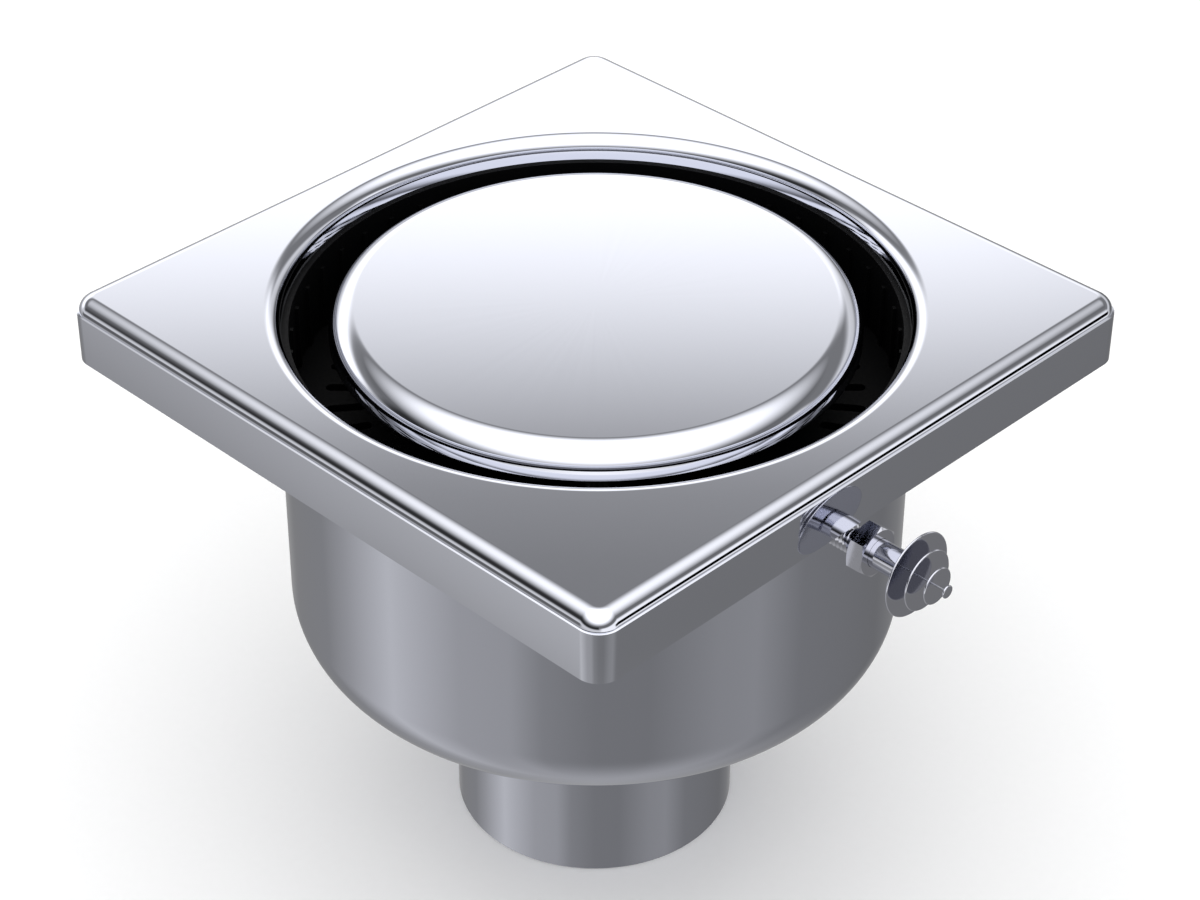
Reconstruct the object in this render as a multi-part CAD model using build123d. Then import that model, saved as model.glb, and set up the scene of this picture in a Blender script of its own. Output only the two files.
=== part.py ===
from build123d import *
from math import cos, pi, radians, sin, sqrt, tan
import os

# A stainless floor drain: a square pressed top plate on a deep-drawn pot, with a
# bell trap and a strainer inside, and a round lid that leaves a ring slot.
# Millimetres, +Z up. The origin is on the outlet's axis, at its lower end.
# The bonding stud points along +X, square to one side of the plate.

# Outlet and pot
OUTLET_DIAMETER = 80.7
OUTLET_WALL = 1.5
OUTLET_LENGTH = 61.5
OUTLET_CHAMFER = 0.6
POT_DIAMETER = 171.6
POT_WALL = 1.5
POT_CORNER = 19.7
WELD_GAP = 0.05
CUT_THROUGH = 12.0

# Top plate
PLATE_SIDE = 200.0
PLATE_CORNER = 6.5
PLATE_SHEET = 1.5
PLATE_ROLL = 4.25
SKIRT_DEPTH = 19.0
THROAT_ROLL = 3.95
COLLAR_DEPTH = 7.2

# Weir pipe, which stands in the outlet, and its seal
WEIR_PIPE_WALL = 1.5
WEIR_PIPE_CLEARANCE = 0.1
WEIR_PIPE_ENTRY = 20.0
WEIR_FLANGE_WIDTH = 7.0
WEIR_FLANGE_SHEET = 2.0
WEIR_SEAL_THICKNESS = 1.5
WEIR_SEAL_WIDTH = 5.0
WEIR_SEAL_CLEARANCE = 0.3

# Bell trap
WATER_SEAL = 50.0
BELL_FOOT_GAP = 8.0
BELL_DIAMETER = 128.0
BELL_WALL = 2.0
BELL_CROWN = 14.0
BELL_BEAD = 1.6
WEIR_HEADROOM = 12.5
FIN_COUNT = 4
FIN_THICKNESS = 2.2
FIN_REACH = 9.0
FIN_LOCATOR = 6.0
FIN_CLEARANCE = 0.3
FINGER_RECESS_DIAMETER = 26.0
FINGER_RECESS_DEPTH = 5.0

# Seat ring, seal and strainer basket
SEAT_SHEET = 2.0
SEAT_WIDTH = 8.0
SEAL_THICKNESS = 2.0
SEAL_WIDTH = 6.0
SEAL_INSET = 0.8
BELL_TO_BASKET = 2.5
BASKET_CLEARANCE = 0.3
BASKET_WALL = 1.8
BASKET_FLOOR = 2.5
BASKET_DEPTH = 22.9
BASKET_DROP = 6.6
RIB_COUNT = 48
RIB_DEPTH = 0.9
RIB_THICKNESS = 1.4
RIB_DROP = 4.0
SLOT_WIDTH = 3.2
SLOT_PITCH = 8.2
OUTER_SLOT_LENGTH = 11.0
INNER_SLOT_LENGTH = 18.0
SLOT_LAND = 4.0

# Wire grip of the basket
WIRE_DIAMETER = 3.0
GRIP_SPAN = 44.0
GRIP_HEIGHT = 19.0
GRIP_BEND = 7.0
GRIP_BOSS_DIAMETER = 8.0
GRIP_BOSS_HEIGHT = 4.0
WIRE_CLEARANCE = 0.05

# Lid, legs and feet
LID_DIAMETER = 143.2
LID_SHEET = 2.0
LID_DROP = 0.8
LID_DEPTH = 8.6
LID_ROLL = 7.0
LEG_COUNT = 4
LEG_DIAMETER = 8.0
LEG_CIRCLE_DIAMETER = 108.0
FOOT_DIAMETER = 12.0
FOOT_SOLE = 2.5
FOOT_SOCKET = 4.0
FOOT_CLEARANCE = 0.1
FOOT_ROUND = 0.8

# Bonding stud, nut and marker
STUD_DIAMETER = 8.0
STUD_LENGTH = 27.4
STUD_DROP = 31.9
NUT_ACROSS_FLATS = 12.9
NUT_HEIGHT = 5.0
NUT_CORNER_ANGLE = 50.0
NUT_CHAMFER_ANGLE = 30.0
NUT_STANDOFF = 10.0
THREAD_CLEARANCE = 0.08
MARKER_DISC_COUNT = 4
MARKER_TIP_RADIUS = 1.85
MARKER_STEP = 3.35
MARKER_DISC_THICKNESS = 0.5
MARKER_SPINDLE_DIAMETER = 1.2

# Heights and radii worked out from the sizes above
OUTLET_RADIUS = OUTLET_DIAMETER / 2
OUTLET_BORE_RADIUS = OUTLET_RADIUS - OUTLET_WALL
WEIR_PIPE_RADIUS = OUTLET_BORE_RADIUS - WEIR_PIPE_CLEARANCE
WEIR_BORE_RADIUS = WEIR_PIPE_RADIUS - WEIR_PIPE_WALL
POT_RADIUS = POT_DIAMETER / 2
POT_BORE_RADIUS = POT_RADIUS - POT_WALL
POT_FLOOR = OUTLET_LENGTH + POT_WALL
BELL_FOOT = POT_FLOOR + BELL_FOOT_GAP
WEIR = BELL_FOOT + WATER_SEAL
BELL_RADIUS = BELL_DIAMETER / 2
BELL_CEILING = WEIR + WEIR_HEADROOM
BELL_TOP = BELL_CEILING + BELL_WALL
BASKET_UNDERSIDE = BELL_TOP + BELL_TO_BASKET
BASKET_FLOOR_TOP = BASKET_UNDERSIDE + BASKET_FLOOR
BASKET_RIM = BASKET_FLOOR_TOP + BASKET_DEPTH
BASKET_RADIUS = POT_BORE_RADIUS - BASKET_CLEARANCE
BASKET_BORE_RADIUS = BASKET_RADIUS - BASKET_WALL
SEAT_TOP = BASKET_UNDERSIDE - SEAL_THICKNESS
PLATE_TOP = BASKET_RIM + BASKET_DROP
POT_RIM = PLATE_TOP - COLLAR_DEPTH
THROAT_RADIUS = POT_BORE_RADIUS + THROAT_ROLL
LID_RADIUS = LID_DIAMETER / 2
LID_TOP = PLATE_TOP - LID_DROP
LEG_RADIUS = LEG_DIAMETER / 2
FOOT_RADIUS = FOOT_DIAMETER / 2
STUD_RADIUS = STUD_DIAMETER / 2
STUD_HEIGHT = PLATE_TOP - STUD_DROP
STUD_END = POT_RADIUS + STUD_LENGTH


def ring(outer_radius, inner_radius, bottom, top):
    """A flat ring or tube about the drain's axis."""
    height = top - bottom
    tube = Cylinder(outer_radius, height) - Cylinder(inner_radius, height)
    return Pos(0, 0, bottom + height / 2) * tube


def around(count, start=0.0):
    """Evenly spaced turns about the drain's axis, in degrees."""
    return [start + 360.0 * index / count for index in range(count)]


def throat_collar():
    """The lip drawn down round the opening, rolled over from the plate."""
    bore = POT_BORE_RADIUS
    bend = PLATE_TOP - THROAT_ROLL
    under_roll = THROAT_ROLL - PLATE_SHEET
    with BuildPart() as collar:
        with BuildSketch(Plane.XZ):
            with BuildLine():
                Line((THROAT_RADIUS, PLATE_TOP), (THROAT_RADIUS, PLATE_TOP - PLATE_SHEET))
                CenterArc((THROAT_RADIUS, bend), under_roll, 90, 90)
                Line((bore + PLATE_SHEET, bend), (bore + PLATE_SHEET, POT_RIM))
                Line((bore + PLATE_SHEET, POT_RIM), (bore, POT_RIM))
                Line((bore, POT_RIM), (bore, bend))
                CenterArc((THROAT_RADIUS, bend), THROAT_ROLL, 180, -90)
            make_face()
        revolve(axis=Axis.Z)
    return collar.part


def frame_plate():
    """Square plate with a rolled edge, a skirt and the drawn collar, all one pressing."""
    blank = extrude(RectangleRounded(PLATE_SIDE, PLATE_SIDE, PLATE_CORNER), SKIRT_DEPTH)
    blank = Pos(0, 0, PLATE_TOP - SKIRT_DEPTH) * blank
    top_edges = blank.faces().sort_by(Axis.Z)[-1].edges()
    blank = fillet(top_edges, PLATE_ROLL)
    open_side = blank.faces().sort_by(Axis.Z)[0]
    tray = offset(blank, amount=-PLATE_SHEET, openings=open_side)
    opening = Pos(0, 0, PLATE_TOP) * Cylinder(THROAT_RADIUS, CUT_THROUGH)
    return tray - opening + throat_collar()


def trap_pot():
    """Deep-drawn cup with a large bottom corner and a hole that meets the outlet's bore."""
    height = POT_RIM - OUTLET_LENGTH
    body = Pos(0, 0, OUTLET_LENGTH + height / 2) * Cylinder(POT_RADIUS, height)
    bottom_edge = body.edges().filter_by(GeomType.CIRCLE).sort_by(Axis.Z)[0]
    body = fillet(bottom_edge, POT_CORNER)
    open_top = body.faces().sort_by(Axis.Z)[-1]
    shell = offset(body, amount=-POT_WALL, openings=open_top)
    return shell - Pos(0, 0, POT_FLOOR) * Cylinder(OUTLET_BORE_RADIUS, CUT_THROUGH)


def outlet_pipe():
    """Spigot: a straight pipe butt-welded under the hole in the pot's floor."""
    pipe = ring(OUTLET_RADIUS, OUTLET_BORE_RADIUS, 0, OUTLET_LENGTH)
    lower_edges = pipe.edges().filter_by(GeomType.CIRCLE).group_by(Axis.Z)[0]
    outer_edge = lower_edges.sort_by(SortBy.RADIUS)[-1]
    return chamfer(outer_edge, OUTLET_CHAMFER)


def weir_pipe():
    """Lift-out pipe: it enters the outlet, rests on its flange, and its lip is the weir."""
    pipe = ring(WEIR_PIPE_RADIUS, WEIR_BORE_RADIUS, OUTLET_LENGTH - WEIR_PIPE_ENTRY, WEIR)
    seat = POT_FLOOR + WEIR_SEAL_THICKNESS
    rim = WEIR_PIPE_RADIUS + WEIR_FLANGE_WIDTH
    return pipe + ring(rim, WEIR_BORE_RADIUS, seat, seat + WEIR_FLANGE_SHEET)


def weir_seal():
    """Rubber ring between the pot's floor and the weir pipe's flange."""
    inner = OUTLET_BORE_RADIUS + WEIR_SEAL_CLEARANCE
    return ring(inner + WEIR_SEAL_WIDTH, inner, POT_FLOOR, POT_FLOOR + WEIR_SEAL_THICKNESS)


def trap_bell():
    """Moulded bell over the weir, hung on fins that straddle the pipe's lip."""
    height = BELL_TOP - BELL_FOOT
    body = Pos(0, 0, BELL_FOOT + height / 2) * Cylinder(BELL_RADIUS, height)
    crown_edge = body.edges().filter_by(GeomType.CIRCLE).sort_by(Axis.Z)[-1]
    body = fillet(crown_edge, BELL_CROWN)
    open_foot = body.faces().sort_by(Axis.Z)[0]
    shell = offset(body, amount=-BELL_WALL, openings=open_foot)
    bead = ring(BELL_RADIUS + BELL_BEAD, BELL_RADIUS - BELL_WALL, BELL_FOOT, BELL_FOOT + BELL_BEAD)
    bell = shell + bead + finger_recess()
    for turn in around(FIN_COUNT, 360.0 / FIN_COUNT / 2):
        bell += Rot(0, 0, turn) * bell_fin()
    return bell - recess_hollow()


def finger_recess():
    """The dished cup in the crown, which a finger grips to lift the bell."""
    radius = FINGER_RECESS_DIAMETER / 2
    depth = FINGER_RECESS_DEPTH + BELL_WALL
    return Pos(0, 0, BELL_TOP - depth / 2) * Cylinder(radius + BELL_WALL, depth)


def recess_hollow():
    radius = FINGER_RECESS_DIAMETER / 2
    return Pos(0, 0, BELL_TOP) * Cylinder(radius, 2 * FINGER_RECESS_DEPTH)


def bell_fin():
    """One fin: it rests on the pipe's lip and reaches down just inside the bore."""
    inner = WEIR_BORE_RADIUS - FIN_REACH
    outer = WEIR_PIPE_RADIUS + FIN_REACH
    crown = BELL_CEILING + BELL_WALL / 2
    hook = WEIR_BORE_RADIUS - FIN_CLEARANCE
    outline = Polyline(
        (inner, crown),
        (outer, crown),
        (outer, WEIR),
        (hook, WEIR),
        (hook, WEIR - FIN_LOCATOR),
        (inner, WEIR - FIN_LOCATOR / 2),
        close=True,
    )
    blade = make_face(Plane.XZ * outline)
    return extrude(blade, FIN_THICKNESS / 2, both=True)


def basket_seat_ring():
    """Flat ring welded inside the pot, which carries the strainer basket."""
    outer = POT_BORE_RADIUS - WELD_GAP
    return ring(outer, outer - SEAT_WIDTH, SEAT_TOP - SEAT_SHEET, SEAT_TOP)


def basket_seal():
    """Rubber ring between the seat and the basket's floor."""
    outer = POT_BORE_RADIUS - WELD_GAP - SEAL_INSET
    return ring(outer, outer - SEAL_WIDTH, SEAT_TOP, BASKET_UNDERSIDE)


def slot_ring(outer_end, length):
    """Radial drain slots, as many as fit at their pitch round the inner ends."""
    inner_end = outer_end - length
    count = LEG_COUNT * int(2 * pi * inner_end / SLOT_PITCH / LEG_COUNT)
    middle = (outer_end + inner_end) / 2
    cutter = extrude(SlotOverall(length, SLOT_WIDTH), 2 * BASKET_FLOOR)
    cutter = Pos(middle, 0, BASKET_UNDERSIDE - BASKET_FLOOR / 2) * cutter
    return [Rot(0, 0, turn) * cutter for turn in around(count, 180.0 / count)]


def strainer_basket():
    """Moulded basket: slotted floor, ribbed wall that lines the pot, and two grip bosses."""
    wall = ring(BASKET_RADIUS, BASKET_BORE_RADIUS, BASKET_UNDERSIDE, BASKET_RIM)
    floor = ring(BASKET_RADIUS - BASKET_WALL / 2, 0.0, BASKET_UNDERSIDE, BASKET_FLOOR_TOP)
    basket = wall + floor
    rib_height = BASKET_RIM - RIB_DROP - BASKET_UNDERSIDE
    rib_middle = BASKET_UNDERSIDE + rib_height / 2
    root = BASKET_WALL / 2
    rib = Box(RIB_DEPTH + root, RIB_THICKNESS, rib_height)
    rib = Pos(BASKET_BORE_RADIUS - (RIB_DEPTH - root) / 2, 0, rib_middle) * rib
    basket += [Rot(0, 0, turn) * rib for turn in around(RIB_COUNT)]
    leg_circle = LEG_CIRCLE_DIAMETER / 2
    seal_bore = POT_BORE_RADIUS - WELD_GAP - SEAL_INSET - SEAL_WIDTH
    basket -= slot_ring(seal_bore - SLOT_LAND, OUTER_SLOT_LENGTH)
    basket -= slot_ring(leg_circle - FOOT_RADIUS - SLOT_LAND, INNER_SLOT_LENGTH)
    for side in (-1, 1):
        basket += Pos(side * GRIP_SPAN / 2, 0, BASKET_FLOOR_TOP + GRIP_BOSS_HEIGHT / 2) * Cylinder(
            GRIP_BOSS_DIAMETER / 2, GRIP_BOSS_HEIGHT
        )
    return basket - grip_sockets()


def grip_sockets():
    """Blind holes in the bosses for the two ends of the wire grip."""
    radius = WIRE_DIAMETER / 2 + WIRE_CLEARANCE
    socket = Cylinder(radius, 2 * GRIP_BOSS_HEIGHT)
    return [Pos(side * GRIP_SPAN / 2, 0, BASKET_FLOOR_TOP + GRIP_BOSS_HEIGHT) * socket for side in (-1, 1)]


def basket_grip():
    """Bent wire, standing in the basket's bosses, by which it is lifted."""
    foot = BASKET_FLOOR_TOP
    top = foot + GRIP_HEIGHT - WIRE_DIAMETER / 2
    half = GRIP_SPAN / 2
    with BuildPart() as grip:
        with BuildLine():
            FilletPolyline((-half, 0, foot), (-half, 0, top), (half, 0, top), (half, 0, foot), radius=GRIP_BEND)
        with BuildSketch(Plane((-half, 0, foot))):
            Circle(WIRE_DIAMETER / 2)
        sweep()
    return grip.part


def lid_plate():
    """Round pressed lid: a flat plateau rolled over into an upright rim, shelled from below."""
    body = Pos(0, 0, LID_TOP - LID_DEPTH / 2) * Cylinder(LID_RADIUS, LID_DEPTH)
    upper_edge = body.edges().filter_by(GeomType.CIRCLE).sort_by(Axis.Z)[-1]
    body = fillet(upper_edge, LID_ROLL)
    open_side = body.faces().sort_by(Axis.Z)[0]
    return offset(body, amount=-LID_SHEET, openings=open_side)


def leg_place(index):
    """Centre of one leg on its circle, between the X and Y axes."""
    angle = radians(around(LEG_COUNT, 180.0 / LEG_COUNT)[index])
    circle = LEG_CIRCLE_DIAMETER / 2
    return circle * cos(angle), circle * sin(angle)


def lid_leg(index):
    """Round leg welded under the lid's plateau."""
    x, y = leg_place(index)
    foot = BASKET_FLOOR_TOP + FOOT_SOLE
    top = LID_TOP - LID_SHEET
    return Pos(x, y, (foot + top) / 2) * Cylinder(LEG_RADIUS, top - foot)


def lid_foot(index):
    """Rubber cap pushed on the leg's lower end, which stands on the basket's floor."""
    x, y = leg_place(index)
    height = FOOT_SOLE + FOOT_SOCKET
    cap = Pos(0, 0, height / 2) * Cylinder(FOOT_RADIUS, height)
    upper_edge = cap.edges().filter_by(GeomType.CIRCLE).sort_by(Axis.Z)[-1]
    cap = fillet(upper_edge, FOOT_ROUND)
    socket = Pos(0, 0, FOOT_SOLE + FOOT_SOCKET) * Cylinder(LEG_RADIUS + FOOT_CLEARANCE, 2 * FOOT_SOCKET)
    return Pos(x, y, BASKET_FLOOR_TOP) * (cap - socket)


def stud_frame(distance):
    """A place on the stud's axis, so many millimetres out from the drain's axis, facing out."""
    return Pos(distance, 0, STUD_HEIGHT) * Rot(0, 90, 0)


def bonding_stud():
    """Plain M8-size stud, its root shaped to the pot's round wall, where it is welded."""
    root = POT_BORE_RADIUS
    length = STUD_END - root
    stud = stud_frame(root + length / 2) * Cylinder(STUD_RADIUS, length)
    pot = Pos(0, 0, STUD_HEIGHT) * Cylinder(POT_RADIUS + WELD_GAP, 2 * STUD_DIAMETER)
    return stud - pot


def hex_nut():
    """Hexagon nut with its corners turned off at both faces."""
    corner = NUT_ACROSS_FLATS / sqrt(3)
    prism = extrude(Rot(0, 0, NUT_CORNER_ANGLE) * RegularPolygon(corner, 6), NUT_HEIGHT)
    turning = Pos(0, 0, NUT_HEIGHT / 2) * Cylinder(corner, NUT_HEIGHT)
    flat = NUT_ACROSS_FLATS / 2
    reach = corner - flat
    fall = reach * tan(radians(NUT_CHAMFER_ANGLE))
    turning = chamfer(turning.edges().filter_by(GeomType.CIRCLE), fall, reach)
    bore = Pos(0, 0, NUT_HEIGHT / 2) * Cylinder(STUD_RADIUS + THREAD_CLEARANCE, NUT_HEIGHT)
    return (prism & turning) - bore


def bonding_nut():
    """The nut stands off the pot's wall by the room for the cable lug."""
    return stud_frame(POT_RADIUS + NUT_STANDOFF) * hex_nut()


def earth_marker():
    """Turned end piece: thin discs of falling size on a spindle, like the earth sign."""
    spindle_length = MARKER_DISC_THICKNESS + MARKER_STEP * (MARKER_DISC_COUNT - 1)
    spindle = Cylinder(MARKER_SPINDLE_DIAMETER / 2, spindle_length)
    marker = Pos(0, 0, spindle_length / 2) * spindle
    for index in range(MARKER_DISC_COUNT):
        radius = MARKER_TIP_RADIUS + MARKER_STEP * (MARKER_DISC_COUNT - 1 - index)
        place = MARKER_STEP * index + MARKER_DISC_THICKNESS / 2
        marker += Pos(0, 0, place) * Cylinder(radius, MARKER_DISC_THICKNESS)
    return stud_frame(STUD_END) * marker


def main():
    os.makedirs("parts", exist_ok=True)
    nodes = {
        "frame_plate": frame_plate(),
        "trap_pot": trap_pot(),
        "outlet_pipe": outlet_pipe(),
        "weir_pipe": weir_pipe(),
        "weir_seal": weir_seal(),
        "trap_bell": trap_bell(),
        "basket_seat_ring": basket_seat_ring(),
        "basket_seal": basket_seal(),
        "strainer_basket": strainer_basket(),
        "basket_grip": basket_grip(),
        "lid_plate": lid_plate(),
        "bonding_stud": bonding_stud(),
        "bonding_nut": bonding_nut(),
        "earth_marker": earth_marker(),
    }
    for index in range(LEG_COUNT):
        nodes[f"lid_leg_{index + 1}"] = lid_leg(index)
        nodes[f"lid_foot_{index + 1}"] = lid_foot(index)
    for name, shape in nodes.items():
        export_step(shape, f"parts/{name}.step")


main()
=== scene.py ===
import math

import bmesh
import bpy
from mathutils import Matrix, Vector


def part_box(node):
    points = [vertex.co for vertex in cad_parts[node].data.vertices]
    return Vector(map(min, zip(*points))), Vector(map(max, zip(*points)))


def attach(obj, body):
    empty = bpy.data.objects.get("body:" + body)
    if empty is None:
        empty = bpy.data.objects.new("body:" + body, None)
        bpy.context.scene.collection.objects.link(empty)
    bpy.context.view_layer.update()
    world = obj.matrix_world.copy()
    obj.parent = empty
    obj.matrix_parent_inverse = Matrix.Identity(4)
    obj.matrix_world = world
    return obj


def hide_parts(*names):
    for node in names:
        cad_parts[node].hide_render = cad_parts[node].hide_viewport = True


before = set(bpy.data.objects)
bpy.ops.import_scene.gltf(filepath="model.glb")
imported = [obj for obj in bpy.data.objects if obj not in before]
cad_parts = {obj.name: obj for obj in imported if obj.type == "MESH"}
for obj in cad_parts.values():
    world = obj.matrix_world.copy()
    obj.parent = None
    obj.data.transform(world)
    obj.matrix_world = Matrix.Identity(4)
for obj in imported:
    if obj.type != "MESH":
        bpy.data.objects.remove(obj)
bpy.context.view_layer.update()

# A mirror-polished stainless floor drain on a pale studio floor.
# Sizes are in millimetres, times MM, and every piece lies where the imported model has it.
MM = 0.001
FULL_TURN = math.radians(360)
AXIS = Vector((0, 0, 1))

# Plate, throat and pot, with the outlet below
PLATE_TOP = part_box("frame_plate")[1].z
SKIRT_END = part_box("frame_plate")[0].z
PLATE_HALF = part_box("frame_plate")[1].x
SHEET = 1.5 * MM
PLATE_CORNER = 6.5 * MM
PLATE_ROLL = 4.25 * MM
THROAT_ROLL = 3.95 * MM
COLLAR_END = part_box("trap_pot")[1].z
POT_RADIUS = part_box("trap_pot")[1].x
POT_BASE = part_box("trap_pot")[0].z
POT_CORNER = 19.7 * MM
POT_BORE = POT_RADIUS - SHEET
THROAT_RADIUS = POT_BORE + THROAT_ROLL
OUTLET_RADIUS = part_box("outlet_pipe")[1].x
OUTLET_BORE = OUTLET_RADIUS - SHEET
OUTLET_CHAMFER = 0.6 * MM

# Lid: its roll turns down by LID_ROLL_TURN, and the lands carry on from there
LID_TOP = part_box("lid_plate")[1].z
LID_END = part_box("lid_plate")[0].z
LID_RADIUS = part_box("lid_plate")[1].x
LID_SHEET = 2.0 * MM
LID_ROLL = 7.0 * MM
LID_ROLL_TURN = math.radians(78)

# The seam where the plate's roll meets the skirt, and the fine lands turned on rim and collar
LEDGE = 0.45 * MM
LEDGE_FALL = 0.15 * MM
LAND_COUNT = 3
LAND_HEIGHT = 1.0 * MM
LAND_DEPTH = 0.58 * MM
COLLAR_LAND_HEIGHT = 0.85 * MM
COLLAR_LAND_DEPTH = 0.3 * MM
COLLAR_CLEARANCE = 0.02 * MM

# Earth stud and the earth sign on its end
STUD_HEIGHT = 0.5 * (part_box("bonding_stud")[0].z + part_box("bonding_stud")[1].z)
STUD_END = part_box("bonding_stud")[1].x
STUD_RADIUS = 4.0 * MM
STUD_CHAMFER = 0.5 * MM
THREAD_START = 1.5 * MM
THREAD_PITCH = 1.25 * MM
THREAD_DEPTH = 0.6 * MM
THREAD_RINGS = 10
MARKER_DISCS = 4
MARKER_THICKNESS = 0.5 * MM
MARKER_STEP = 3.35 * MM
MARKER_TIP_RADIUS = 1.85 * MM
MARKER_SPINDLE = 0.25 * MM
MARKER_EDGE = 0.2 * MM
MARKER_EDGE_STEPS = 4

# Steps in a full turn of the large and of the small turned pieces, and in a quarter roll
TURNS = 256
SMALL_TURNS = 64
ROLL_STEPS = 16
# A straight run longer than LONG_RUN gets a band of faces this narrow at both ends
SUPPORT = 0.25 * MM
LONG_RUN = 4 * SUPPORT
# How close two points have to be to become one, and a point to a height to count as on it
MERGE = 0.001 * MM
NEAR = 0.1 * SUPPORT
# An edge that turns more than this stays sharp
SHARP_ANGLE = math.radians(40)
# A face looks along an axis if its normal has more than this of it
LOOKS_ALONG = 0.5

# The part of a noise pattern's range from 0 to 1 that nearly all of it lies in
NOISE_LOW = 0.3
NOISE_HIGH = 0.7


def linear(code):
    """An sRGB hex colour as the linear colour that a shader takes."""
    parts = [int(code[place:place + 2], 16) / 255 for place in (1, 3, 5)]
    values = [v / 12.92 if v <= 0.04045 else ((v + 0.055) / 1.055) ** 2.4 for v in parts]
    return (*values, 1.0)


def grey(level):
    """A light's colour that is one level in red, green and blue."""
    return (level, level, level, 1.0)


def add(tree, kind, settings=None, inputs=None):
    """Adds one node: settings are its properties, and inputs feed its sockets, by name or number,
    each from another node's output or with a plain value."""
    node = tree.nodes.new(kind)
    for name, value in (settings or {}).items():
        setattr(node, name, value)
    for key, source in (inputs or {}).items():
        if isinstance(source, bpy.types.NodeSocket):
            tree.links.new(source, node.inputs[key])
        else:
            node.inputs[key].default_value = source
    return node


def new_material(name):
    """An empty material, its node tree, and the place on the piece that its patterns read."""
    material = bpy.data.materials.new(name)
    material.use_nodes = True
    tree = material.node_tree
    tree.nodes.clear()
    return material, tree, add(tree, "ShaderNodeTexCoord").outputs["Object"]


def dress(tree, values, mottle, rough_from, rough_to, relief, strength, depth_mm):
    """The shader with its own values, a roughness that follows the mottle, and a relief."""
    rough = add(
        tree,
        "ShaderNodeMapRange",
        inputs={
            "Value": mottle,
            "From Min": NOISE_LOW,
            "From Max": NOISE_HIGH,
            "To Min": rough_from,
            "To Max": rough_to,
        },
    )
    bump = add(
        tree,
        "ShaderNodeBump",
        inputs={"Height": relief, "Strength": strength, "Distance": depth_mm * MM},
    )
    shader = add(
        tree,
        "ShaderNodeBsdfPrincipled",
        inputs={**values, "Roughness": rough.outputs["Result"], "Normal": bump.outputs["Normal"]},
    )
    add(tree, "ShaderNodeOutputMaterial", inputs={"Surface": shader.outputs["BSDF"]})


def steel(name, colour, roughness, wander, wave_mm, wave_depth_mm, grain_mm):
    """Stainless steel: metal of one colour whose polish wanders a little. The waves are the slow
    ones that forming leaves, and grain_mm is the size of the polish marks."""
    material, tree, place = new_material(name)
    haze = add(
        tree,
        "ShaderNodeTexNoise",
        inputs={"Vector": place, "Scale": 1 / (grain_mm * MM), "Detail": 4.0},
    ).outputs["Fac"]
    waves = add(
        tree,
        "ShaderNodeTexNoise",
        inputs={"Vector": place, "Scale": 1 / (wave_mm * MM), "Detail": 1.0},
    ).outputs["Fac"]
    values = {"Base Color": linear(colour), "Metallic": 1.0}
    dress(tree, values, haze, roughness, roughness + wander, waves, 1.0, wave_depth_mm)
    return material


def moulding(name, colour, roughness, wander, grain_mm, grain_depth_mm, gloss):
    """Moulded plastic or rubber: one dull colour with the fine grain of its mould."""
    material, tree, place = new_material(name)
    grain = add(
        tree,
        "ShaderNodeTexNoise",
        inputs={"Vector": place, "Scale": 1 / (grain_mm * MM), "Detail": 3.0},
    ).outputs["Fac"]
    values = {"Base Color": linear(colour), "IOR": 1.5, "Specular IOR Level": gloss}
    dress(tree, values, grain, roughness - wander, roughness + wander, grain, 0.6, grain_depth_mm)
    return material


# Mirror-polished 304 sheet: a clean reflection that only swims very slightly
polished_steel = steel("mirror_polished_304", "#CDCFD8", 0.03, 0.012, 60.0, 0.002, 4.0)
# Deep-drawn 304, bright but not buffed: a slightly softer mirror than the plate
drawn_steel = steel("bright_drawn_304", "#CDCFD9", 0.045, 0.02, 45.0, 0.003, 3.0)
# Drawn rod and wire, a little duller than the plate
rod_steel = steel("drawn_304_rod", "#C8C9CC", 0.18, 0.06, 12.0, 0.003, 1.5)
# Turned and polished bar: crisp small highlights
turned_steel = steel("turned_304_bar", "#CDCED7", 0.06, 0.03, 10.0, 0.002, 1.5)
# Turned 304 left dull off the tool, in the grooves: a rough finish, and a darker grey that is
# painted shade between the discs
groove_steel_painted_shade = steel("turned_304_groove_painted_shade", "#ABACB1", 0.45, 0.08, 10.0, 0.002, 0.8)
# Black polypropylene straight from the mould: near black with a low, broad sheen
black_plastic = moulding("moulded_black_polypropylene", "#050506", 0.5, 0.06, 0.8, 0.02, 0.08)
# Black rubber: duller and softer than the plastic
black_rubber = moulding("moulded_black_rubber", "#08080A", 0.7, 0.06, 0.6, 0.03, 0.08)


def wire_section(bm, points):
    """A closed outline in the XZ plane: vertices joined by edges, in order."""
    verts = [bm.verts.new((x, 0, z)) for x, z in points]
    for index, vert in enumerate(verts):
        bm.edges.new((vert, verts[(index + 1) % len(verts)]))
    return verts


def rolled(bm, geom, radius, steps, affect="VERTICES"):
    """Rounds off corners of an outline, or edges, with an arc."""
    bmesh.ops.bevel(
        bm,
        geom=geom,
        offset=radius,
        offset_type="OFFSET",
        segments=steps,
        profile=0.5,
        affect=affect,
        material=-1,
    )


def support_edges(bm):
    """Splits off a short stretch at both ends of each long straight run, so that
    the smooth shading of a roll doesn't spread over the flat beside it."""
    for edge in list(bm.edges):
        length = edge.calc_length()
        if length < LONG_RUN:
            continue
        first, last = edge.verts
        new_edge, _ = bmesh.utils.edge_split(edge, first, SUPPORT / length)
        rest = edge if edge.calc_length() > new_edge.calc_length() else new_edge
        near_last = last if last in rest.verts else first
        bmesh.utils.edge_split(rest, near_last, SUPPORT / rest.calc_length())


def spun(bm, section, steps):
    """Turns a section all the way round the drain's axis and closes the shell."""
    bmesh.ops.spin(
        bm,
        geom=section,
        cent=(0, 0, 0),
        axis=AXIS,
        angle=FULL_TURN,
        steps=steps,
        use_merge=True,
    )
    bmesh.ops.remove_doubles(bm, verts=bm.verts, dist=MERGE)


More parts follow.
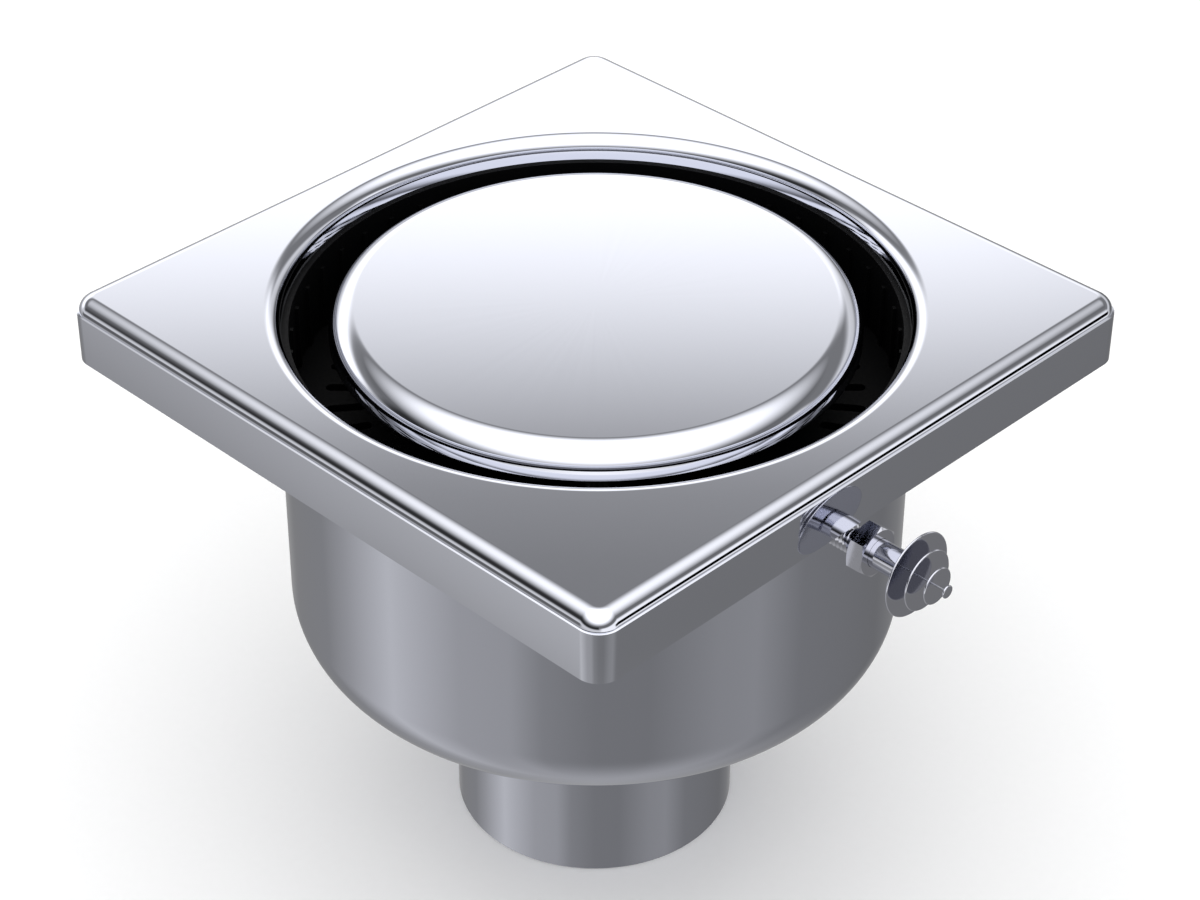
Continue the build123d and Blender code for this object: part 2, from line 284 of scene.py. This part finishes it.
def new_piece(name, bm, material, nodes):
    """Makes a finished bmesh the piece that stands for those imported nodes."""
    bmesh.ops.recalc_face_normals(bm, faces=bm.faces)
    for face in bm.faces:
        face.smooth = True
    for edge in bm.edges:
        if len(edge.link_faces) == 2 and edge.calc_face_angle(0) > SHARP_ANGLE:
            edge.smooth = False
    mesh = bpy.data.meshes.new(name)
    bm.to_mesh(mesh)
    bm.free()
    mesh.materials.append(material)
    piece = bpy.data.objects.new(name, mesh)
    bpy.context.scene.collection.objects.link(piece)
    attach(piece, "root")
    if nodes:
        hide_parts(*nodes)
    return piece


def lands(radius, top, height, depth):
    """Saw-tooth section of the fine lands, from the top down: each flares by depth, then steps
    back."""
    points = []
    for number in range(LAND_COUNT):
        upper = top - number * height
        points += [(radius, upper), (radius + depth, upper - height)]
    return points


# A turn that lays a piece made about the upright axis along the stud
STUD_TURN = Matrix.Translation((0, 0, STUD_HEIGHT)) @ Matrix.Rotation(math.radians(90), 4, "Y")


def turned_piece(name, outline, roundings, material, nodes, steps=TURNS, place=None):
    """A piece spun from one closed section; roundings are {corner number: (radius, steps)}."""
    bm = bmesh.new()
    verts = wire_section(bm, outline)
    for number, (radius, roll_steps) in roundings.items():
        rolled(bm, [verts[number]], radius, roll_steps)
    support_edges(bm)
    spun(bm, list(bm.verts) + list(bm.edges), steps)
    if place:
        bmesh.ops.transform(bm, matrix=place, verts=bm.verts)
    return new_piece(name, bm, material, nodes)


def pressed_plate():
    """The square top: rolled edge, skirt, and the throat rolled down into the pot."""
    # A square slab with rounded corners, as many points round as the throat, its rim rolled over
    bm = bmesh.new()
    side_cuts = TURNS // 4 - ROLL_STEPS - 1
    half_diagonal = PLATE_HALF * math.sqrt(2)
    made = bmesh.ops.create_circle(bm, cap_ends=True, segments=4, radius=half_diagonal)
    turn = Matrix.Rotation(math.radians(45), 3, "Z")
    bmesh.ops.rotate(bm, cent=(0, 0, 0), matrix=turn, verts=made["verts"])
    rolled(bm, list(bm.verts), PLATE_CORNER, ROLL_STEPS)
    sides = [edge for edge in bm.edges if edge.calc_length() > PLATE_HALF]
    bmesh.ops.subdivide_edges(bm, edges=sides, cuts=side_cuts)
    bmesh.ops.translate(bm, verts=bm.verts, vec=(0, 0, SKIRT_END))
    grown = bmesh.ops.extrude_face_region(bm, geom=list(bm.faces))
    top = [item for item in grown["geom"] if isinstance(item, bmesh.types.BMVert)]
    bmesh.ops.translate(bm, verts=top, vec=(0, 0, PLATE_TOP - SKIRT_END))
    rim = [
        edge
        for edge in bm.edges
        if len(edge.link_faces) == 2 and all(v.co.z > PLATE_TOP - NEAR for v in edge.verts)
    ]
    rolled(bm, rim, PLATE_ROLL, ROLL_STEPS, "EDGES")

    # The seam: all that lies above the roll's lower end steps in by the ledge
    roll_end = PLATE_TOP - PLATE_ROLL
    bmesh.ops.bisect_plane(
        bm,
        geom=list(bm.verts) + list(bm.edges) + list(bm.faces),
        dist=MERGE,
        plane_co=(0, 0, roll_end - LEDGE_FALL),
        plane_no=AXIS,
    )
    above = [vert for vert in bm.verts if vert.co.z > roll_end - 0.5 * LEDGE_FALL]
    shrink = 1 - LEDGE / PLATE_HALF
    bmesh.ops.scale(bm, vec=(shrink, shrink, 1), verts=above)

    # Only the outer skin stays, open where the throat goes in and all over its underside
    bmesh.ops.recalc_face_normals(bm, faces=bm.faces)
    flat = max(bm.faces, key=lambda face: face.normal.z * face.calc_area())
    bmesh.ops.inset_individual(bm, faces=[flat], thickness=SUPPORT)
    open_faces = [flat] + [face for face in bm.faces if face.normal.z < -LOOKS_ALONG]
    bmesh.ops.delete(bm, geom=open_faces, context="FACES")
    outer_loop = [
        edge
        for edge in bm.edges
        if edge.is_boundary and all(v.co.z > PLATE_TOP - NEAR for v in edge.verts)
    ]

    # Throat: a quarter roll into the collar, with a narrow flat band round its mouth
    throat_end = PLATE_TOP - THROAT_ROLL
    start = bm.verts.new((THROAT_RADIUS, 0, PLATE_TOP))
    arc = bmesh.ops.spin(
        bm,
        geom=[start],
        cent=(THROAT_RADIUS, 0, throat_end),
        axis=(0, -1, 0),
        angle=math.radians(90),
        steps=ROLL_STEPS,
    )
    last = [item for item in arc["geom_last"] if isinstance(item, bmesh.types.BMVert)][0]
    for height in (throat_end - SUPPORT, COLLAR_END + SUPPORT, COLLAR_END):
        below = bm.verts.new((POT_BORE, 0, height))
        bm.edges.new((last, below))
        last = below
    mouth = bm.verts.new((THROAT_RADIUS + SUPPORT, 0, PLATE_TOP))
    bm.edges.new((mouth, start))
    spun(bm, [item for item in (*bm.verts, *bm.edges) if item.is_wire], TURNS)

    # The flat top between the plate's roll and that band
    reach = THROAT_RADIUS + SUPPORT + NEAR
    inner_loop = [
        edge
        for edge in bm.edges
        if edge.is_boundary
        and all(v.co.z > PLATE_TOP - NEAR and v.co.xy.length < reach for v in edge.verts)
    ]
    outer_loop = [edge for edge in outer_loop if edge.is_valid]
    bmesh.ops.triangle_fill(bm, use_beauty=True, edges=outer_loop + inner_loop, normal=AXIS)
    plate = new_piece("pressed_plate", bm, polished_steel, ["frame_plate"])
    thicken = plate.modifiers.new("sheet", "SOLIDIFY")
    thicken.thickness = SHEET
    thicken.offset = -1
    thicken.use_even_offset = True
    weights = plate.modifiers.new("flat_shading", "WEIGHTED_NORMAL")
    weights.keep_sharp = True


pressed_plate()

# Deep-drawn pot: straight wall, one large bottom corner, a plain hole for the outlet
turned_piece(
    "drawn_pot",
    [
        (OUTLET_BORE, POT_BASE),
        (POT_RADIUS, POT_BASE),
        (POT_RADIUS, COLLAR_END),
        (POT_BORE, COLLAR_END),
        (POT_BORE, POT_BASE + SHEET),
        (OUTLET_BORE, POT_BASE + SHEET),
    ],
    {1: (POT_CORNER, 2 * ROLL_STEPS), 4: (POT_CORNER - SHEET, 2 * ROLL_STEPS)},
    drawn_steel,
    ["trap_pot"],
)

# Outlet pipe, its cut end lightly chamfered
turned_piece(
    "outlet_tube",
    [
        (OUTLET_BORE, 0),
        (OUTLET_RADIUS - OUTLET_CHAMFER, 0),
        (OUTLET_RADIUS, OUTLET_CHAMFER),
        (OUTLET_RADIUS, POT_BASE),
        (OUTLET_BORE, POT_BASE),
    ],
    {},
    drawn_steel,
    ["outlet_pipe"],
)

# Pressed lid: flat plateau rolled over into a rim with fine lands, hollow below
lid_roll_end = LID_TOP - LID_ROLL * (1 - math.cos(LID_ROLL_TURN))
lid_roll_reach = LID_ROLL * math.tan(0.5 * LID_ROLL_TURN)
turned_piece(
    "pressed_lid",
    [
        (0, LID_TOP),
        (LID_RADIUS - LID_ROLL + lid_roll_reach, LID_TOP),
        (LID_RADIUS - LID_ROLL * (1 - math.sin(LID_ROLL_TURN)), lid_roll_end),
        *lands(LID_RADIUS - LAND_DEPTH, lid_roll_end, LAND_HEIGHT, LAND_DEPTH),
        (LID_RADIUS, LID_END),
        (LID_RADIUS - LID_SHEET, LID_END),
        (LID_RADIUS - LID_SHEET, LID_TOP - LID_SHEET),
        (0, LID_TOP - LID_SHEET),
    ],
    {1: (lid_roll_reach, 2 * ROLL_STEPS), -2: (LID_ROLL - LID_SHEET, ROLL_STEPS)},
    polished_steel,
    ["lid_plate"],
)

# The same fine lands round the throat's collar, just clear of its wall, down to the basket's rim
collar_top = PLATE_TOP - THROAT_ROLL
collar_face = POT_BORE - COLLAR_CLEARANCE
turned_piece(
    "collar_lands",
    [
        *lands(collar_face, collar_top, COLLAR_LAND_HEIGHT, -COLLAR_LAND_DEPTH),
        (collar_face, collar_top - LAND_COUNT * COLLAR_LAND_HEIGHT),
    ],
    {},
    polished_steel,
    [],
)

# Earth stud: a polished pin with a chamfered end, its root inside the pot's wall. The thread,
# where the cable lug and the nut sit, is cut as rings of the real pitch
stud_root = POT_BORE + 0.5 * SHEET
thread = []
for number in range(THREAD_RINGS):
    crest = POT_RADIUS + THREAD_START + number * THREAD_PITCH
    thread += [(STUD_RADIUS, crest), (STUD_RADIUS - THREAD_DEPTH, crest + 0.5 * THREAD_PITCH)]
thread.append((STUD_RADIUS, crest + THREAD_PITCH))
turned_piece(
    "earth_stud",
    [
        (0, stud_root),
        (STUD_RADIUS, stud_root),
        *thread,
        (STUD_RADIUS, STUD_END - STUD_CHAMFER),
        (STUD_RADIUS - STUD_CHAMFER, STUD_END),
        (0, STUD_END),
    ],
    {},
    turned_steel,
    ["bonding_stud"],
    SMALL_TURNS,
    STUD_TURN,
)

# Earth sign: thin turned discs of falling size on a spindle
sign = [(0, STUD_END)]
for number in range(MARKER_DISCS):
    near_face = STUD_END + number * MARKER_STEP
    disc_radius = MARKER_TIP_RADIUS + (MARKER_DISCS - 1 - number) * MARKER_STEP
    if number:
        sign.append((MARKER_SPINDLE, near_face))
    sign += [(disc_radius, near_face), (disc_radius, near_face + MARKER_THICKNESS)]
    if number < MARKER_DISCS - 1:
        sign.append((MARKER_SPINDLE, near_face + MARKER_THICKNESS))
sign.append((0, near_face + MARKER_THICKNESS))
rounded_edges = {
    number: (MARKER_EDGE, MARKER_EDGE_STEPS)
    for number, (radius, _) in enumerate(sign)
    if radius > MARKER_SPINDLE
}
earth_sign = turned_piece(
    "earth_sign",
    sign,
    rounded_edges,
    turned_steel,
    ["earth_marker"],
    SMALL_TURNS,
    STUD_TURN,
)
# No polishing wheel gets between the discs, so the spindle's wall keeps a rough, dull finish; its
# darker grey there is painted shade between the discs
earth_sign.data.materials.append(groove_steel_painted_shade)
for face in earth_sign.data.polygons:
    off_axis = face.center - Vector((face.center.x, 0, STUD_HEIGHT))
    if off_axis.length < MARKER_SPINDLE + MERGE and abs(face.normal.x) < LOOKS_ALONG:
        face.material_index = 1

for node, material in (
    ("bonding_nut", turned_steel),
    ("weir_pipe", drawn_steel),
    ("basket_seat_ring", drawn_steel),
    ("weir_seal", black_rubber),
    ("basket_seal", black_rubber),
    ("strainer_basket", black_plastic),
    ("trap_bell", black_plastic),
    ("basket_grip", rod_steel),
    *[(f"lid_leg_{number}", rod_steel) for number in (1, 2, 3, 4)],
    *[(f"lid_foot_{number}", black_rubber) for number in (1, 2, 3, 4)],
):
    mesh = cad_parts[node].data
    mesh.materials.clear()
    mesh.materials.append(material)

# The studio leans towards the camera, as the photograph's bands of light do: its own height and
# bearing, in degrees, run from a pole that is tilted by STUDIO_LEAN. Bearing 0 is behind the
# drain, on the FAR side, and it grows to the RIGHT.
STUDIO_LEAN = math.radians(24.5)
FAR = Vector((-1, 1, 0)).normalized()
RIGHT = Vector((1, 1, 0)).normalized()
WHITE = 1.75
# Light by height, in stops of (degrees, brightness): grey below, a dark gap, then the white dome
LOWER = (
    (-50, 0.3), (-30, 0.42), (-14, 0.75), (0, 0.95), (6, 0.75), (13, 0.32), (19, 0.22), (50, 0.2),
)
UPPER = (
    (26, 0.0), (30, 0.15), (34, 0.4), (38, 0.66), (42, 0.95), (46, 1.25), (50, 1.55), (54, WHITE),
)
# The dome comes lower by this many degrees behind the drain, and the power keeps the dip there
DOME_DIP = 18.5
DIP_POWER = 3
# Soft boxes and flags: bearing from and to, height from and to, softness of the sides, of the
# lower edge and of the upper edge, brightness
GAP_LEFT = (-185, -76, 10, 26, 10, 5, 5, 0.04)
HAZE_RIGHT = (14, 82, 4, 20, 10, 5, 5, 0.27)
SIDE_PANEL = (84, 172, -20, 15, 8, 4, 5, 1.4)
SWEEP = (-68, 15, -11, 8.3, 10, 6, 3.5, WHITE)
FLAG = (16, 74, -34, -13, 9, 6, 6, 0.16)
FLAG_LEFT = (-112, -84, -21, -4, 8, 4, 3, 0.16)
FLAG_RIGHT = (84, 116, -14, 1, 5, 1.5, 1.5, 0.0)
# The dim ground that polished steel mirrors lies below GROUND_HEIGHT, with a soft edge. Its
# brightness goes by degrees to the right of the far side
GROUND_HEIGHT = -31
GROUND_EDGE = 1.5
GROUND = (
    (-180, 0.255), (-160, 0.315), (-148, 0.44), (-128, 0.47), (-98, 0.70), (-86, 0.56),
    (-74, 0.42), (-60, 0.30), (-30, 0.26), (0, 0.38), (30, 0.24), (50, 0.2),
    (75, 0.23), (98, 0.25), (118, 0.36), (134, 0.34), (160, 0.25), (180, 0.255),
)
# From UNDER_START down to straight below, the ground's brightness goes over to UNDER
UNDER_START = -42
STRAIGHT_BELOW = -90
UNDER = 0.48

# How a soft edge and a blend of two colours are set, and that blend's sockets: how much of the
# second colour, the first colour, the second colour, and the result
SOFT = {"interpolation_type": "SMOOTHSTEP"}
BLEND = {"data_type": "RGBA"}
SHARE, FIRST, SECOND, RESULT = 0, 6, 7, 2


def by_degrees(tree, degrees, stops):
    """Brightness by an angle, through stops of (degrees, brightness) in rising order."""
    low, high = stops[0][0], stops[-1][0]
    place = add(
        tree,
        "ShaderNodeMapRange",
        inputs={"Value": degrees, "From Min": low, "From Max": high},
    )
    levels = add(tree, "ShaderNodeValToRGB", inputs={"Fac": place.outputs["Result"]})
    elements = levels.color_ramp.elements
    while len(elements) < len(stops):
        elements.new(0.5)
    for element, (angle, level) in zip(elements, stops):
        element.position = (angle - low) / (high - low)
        element.color = grey(level)
    return levels.outputs["Color"]


def bearing_and_height(tree, way, ahead, right, pole):
    """Degrees to the right of ahead, and degrees above the plane square to the pole."""
    to_ahead, to_right, to_pole = [
        add(
            tree,
            "ShaderNodeVectorMath",
            {"operation": "DOT_PRODUCT"},
            {0: way, 1: direction},
        ).outputs["Value"]
        for direction in (ahead, right, pole)
    ]
    turn = add(tree, "ShaderNodeMath", {"operation": "ARCTAN2"}, {0: to_right, 1: to_ahead})
    rise = add(tree, "ShaderNodeMath", {"operation": "ARCSINE"}, {0: to_pole})
    return [
        add(
            tree,
            "ShaderNodeMath",
            {"operation": "DEGREES"},
            {0: angle.outputs["Value"]},
        ).outputs["Value"]
        for angle in (turn, rise)
    ]


def soft_box(tree, light, bearing, height, box):
    """Lays one soft-edged box of light, or a dark flag, over the light so far."""
    left, right, low, high, side_edge, low_edge, high_edge, brightness = box
    share = 1.0
    for angle, outside, inside in (
        (bearing, left - side_edge, left + side_edge),
        (bearing, right + side_edge, right - side_edge),
        (height, low - low_edge, low + low_edge),
        (height, high + high_edge, high - high_edge),
    ):
        edge = add(
            tree,
            "ShaderNodeMapRange",
            SOFT,
            {"Value": angle, "From Min": outside, "From Max": inside},
        )
        share = add(
            tree,
            "ShaderNodeMath",
            {"operation": "MULTIPLY"},
            {0: share, 1: edge.outputs["Result"]},
        ).outputs["Value"]
    colours = {SHARE: share, FIRST: light, SECOND: grey(brightness)}
    return add(tree, "ShaderNodeMix", BLEND, colours).outputs[RESULT]


def leaning_light(tree, way):
    """The studio's own light: soft boxes and flags over the grey, and the dome over them all."""
    lean = Matrix.Rotation(STUDIO_LEAN, 3, RIGHT)
    bearing, height = bearing_and_height(tree, way, lean @ FAR, RIGHT, lean @ AXIS)
    light = by_degrees(tree, height, LOWER)
    for box in (GAP_LEFT, HAZE_RIGHT, SIDE_PANEL, SWEEP, FLAG, FLAG_LEFT, FLAG_RIGHT):
        light = soft_box(tree, light, bearing, height, box)
    # Height above the dome's dip, which is 0 on the camera's side and DOME_DIP on the far side
    raised = bearing
    for operation, number in (
        ("RADIANS", 0),
        ("COSINE", 0),
        ("MULTIPLY", 0.5),
        ("ADD", 0.5),
        ("POWER", DIP_POWER),
        ("MULTIPLY", DOME_DIP),
        ("ADD", height),
    ):
        raised = add(
            tree,
            "ShaderNodeMath",
            {"operation": operation},
            {0: raised, 1: number},
        ).outputs["Value"]
    return add(
        tree,
        "ShaderNodeMix",
        {**BLEND, "blend_type": "LIGHTEN"},
        {SHARE: 1.0, FIRST: light, SECOND: by_degrees(tree, raised, UPPER)},
    ).outputs[RESULT]


def studio_sky():
    """Light by direction: the leaning studio over a dim ground."""
    world = bpy.data.worlds.new("studio_sky")
    bpy.context.scene.world = world
    world.use_nodes = True
    tree = world.node_tree
    tree.nodes.clear()
    way = add(tree, "ShaderNodeTexCoord").outputs["Generated"]
    studio = leaning_light(tree, way)
    bearing, height = bearing_and_height(tree, way, FAR, RIGHT, AXIS)
    light = by_degrees(tree, bearing, GROUND)
    for other, start, end in (
        (grey(UNDER), UNDER_START, STRAIGHT_BELOW),
        (studio, GROUND_HEIGHT - GROUND_EDGE, GROUND_HEIGHT + GROUND_EDGE),
    ):
        share = add(
            tree,
            "ShaderNodeMapRange",
            SOFT,
            {"Value": height, "From Min": start, "From Max": end},
        )
        colours = {SHARE: share.outputs["Result"], FIRST: light, SECOND: other}
        light = add(tree, "ShaderNodeMix", BLEND, colours).outputs[RESULT]
    glow = add(tree, "ShaderNodeBackground", inputs={"Color": light, "Strength": 1.0})
    add(tree, "ShaderNodeOutputWorld", inputs={"Surface": glow.outputs["Background"]})


# Pale paper: the colours of its darkest and lightest fibres, and their size, coarser than real
# ones so that they show
PAPER_DARK = "#F5F5F5"
PAPER_LIGHT = "#F6F6F6"
FIBRE_MM = 2.5
FLOOR_HALF = 12.0


def studio_floor():
    """Matt pale paper under the drain. The steel mirrors the darker studio ground instead, as in
    the photograph."""
    material, tree, place = new_material("pale_studio_paper")
    fibre = add(
        tree,
        "ShaderNodeTexNoise",
        inputs={"Vector": place, "Scale": 1 / (FIBRE_MM * MM), "Detail": 3.0},
    )
    share = add(
        tree,
        "ShaderNodeMapRange",
        inputs={"Value": fibre.outputs["Fac"], "From Min": NOISE_LOW, "From Max": NOISE_HIGH},
    )
    colours = {
        SHARE: share.outputs["Result"],
        FIRST: linear(PAPER_DARK),
        SECOND: linear(PAPER_LIGHT),
    }
    tone = add(tree, "ShaderNodeMix", BLEND, colours)
    shader = add(
        tree,
        "ShaderNodeBsdfPrincipled",
        inputs={"Base Color": tone.outputs[RESULT], "Roughness": 0.9, "Specular IOR Level": 0.0},
    )
    add(tree, "ShaderNodeOutputMaterial", inputs={"Surface": shader.outputs["BSDF"]})
    bm = bmesh.new()
    bmesh.ops.create_grid(bm, x_segments=1, y_segments=1, size=FLOOR_HALF)
    mesh = bpy.data.meshes.new("studio_floor")
    bm.to_mesh(mesh)
    bm.free()
    mesh.materials.append(material)
    floor = bpy.data.objects.new("studio_floor", mesh)
    bpy.context.scene.collection.objects.link(floor)
    floor.visible_glossy = False


studio_floor()
studio_sky()

# The photograph's camera, as it was fitted: a long lens at the front corner, 35 degrees down
SENSOR_MM = 36.0
LENS_MM = 92.27
CLIP_START = 0.01
CAMERA_PLACE = (0.4866, -0.4929, 0.6109)
AZIMUTH = math.radians(44.533)
ELEVATION = math.radians(35.348)
ROLL = math.radians(0.244)


def add_camera():
    """Looks at the drain as the photograph does."""
    data = bpy.data.cameras.new("view")
    data.sensor_width = SENSOR_MM
    data.lens = LENS_MM
    data.clip_start = CLIP_START
    camera = bpy.data.objects.new("view", data)
    turn = (
        Matrix.Rotation(AZIMUTH, 4, "Z")
        @ Matrix.Rotation(math.radians(90) - ELEVATION, 4, "X")
        @ Matrix.Rotation(ROLL, 4, "Z")
    )
    camera.matrix_world = Matrix.Translation(CAMERA_PLACE) @ turn
    bpy.context.scene.collection.objects.link(camera)
    bpy.context.scene.camera = camera


add_camera()
bpy.context.scene.view_settings.view_transform = "Standard"
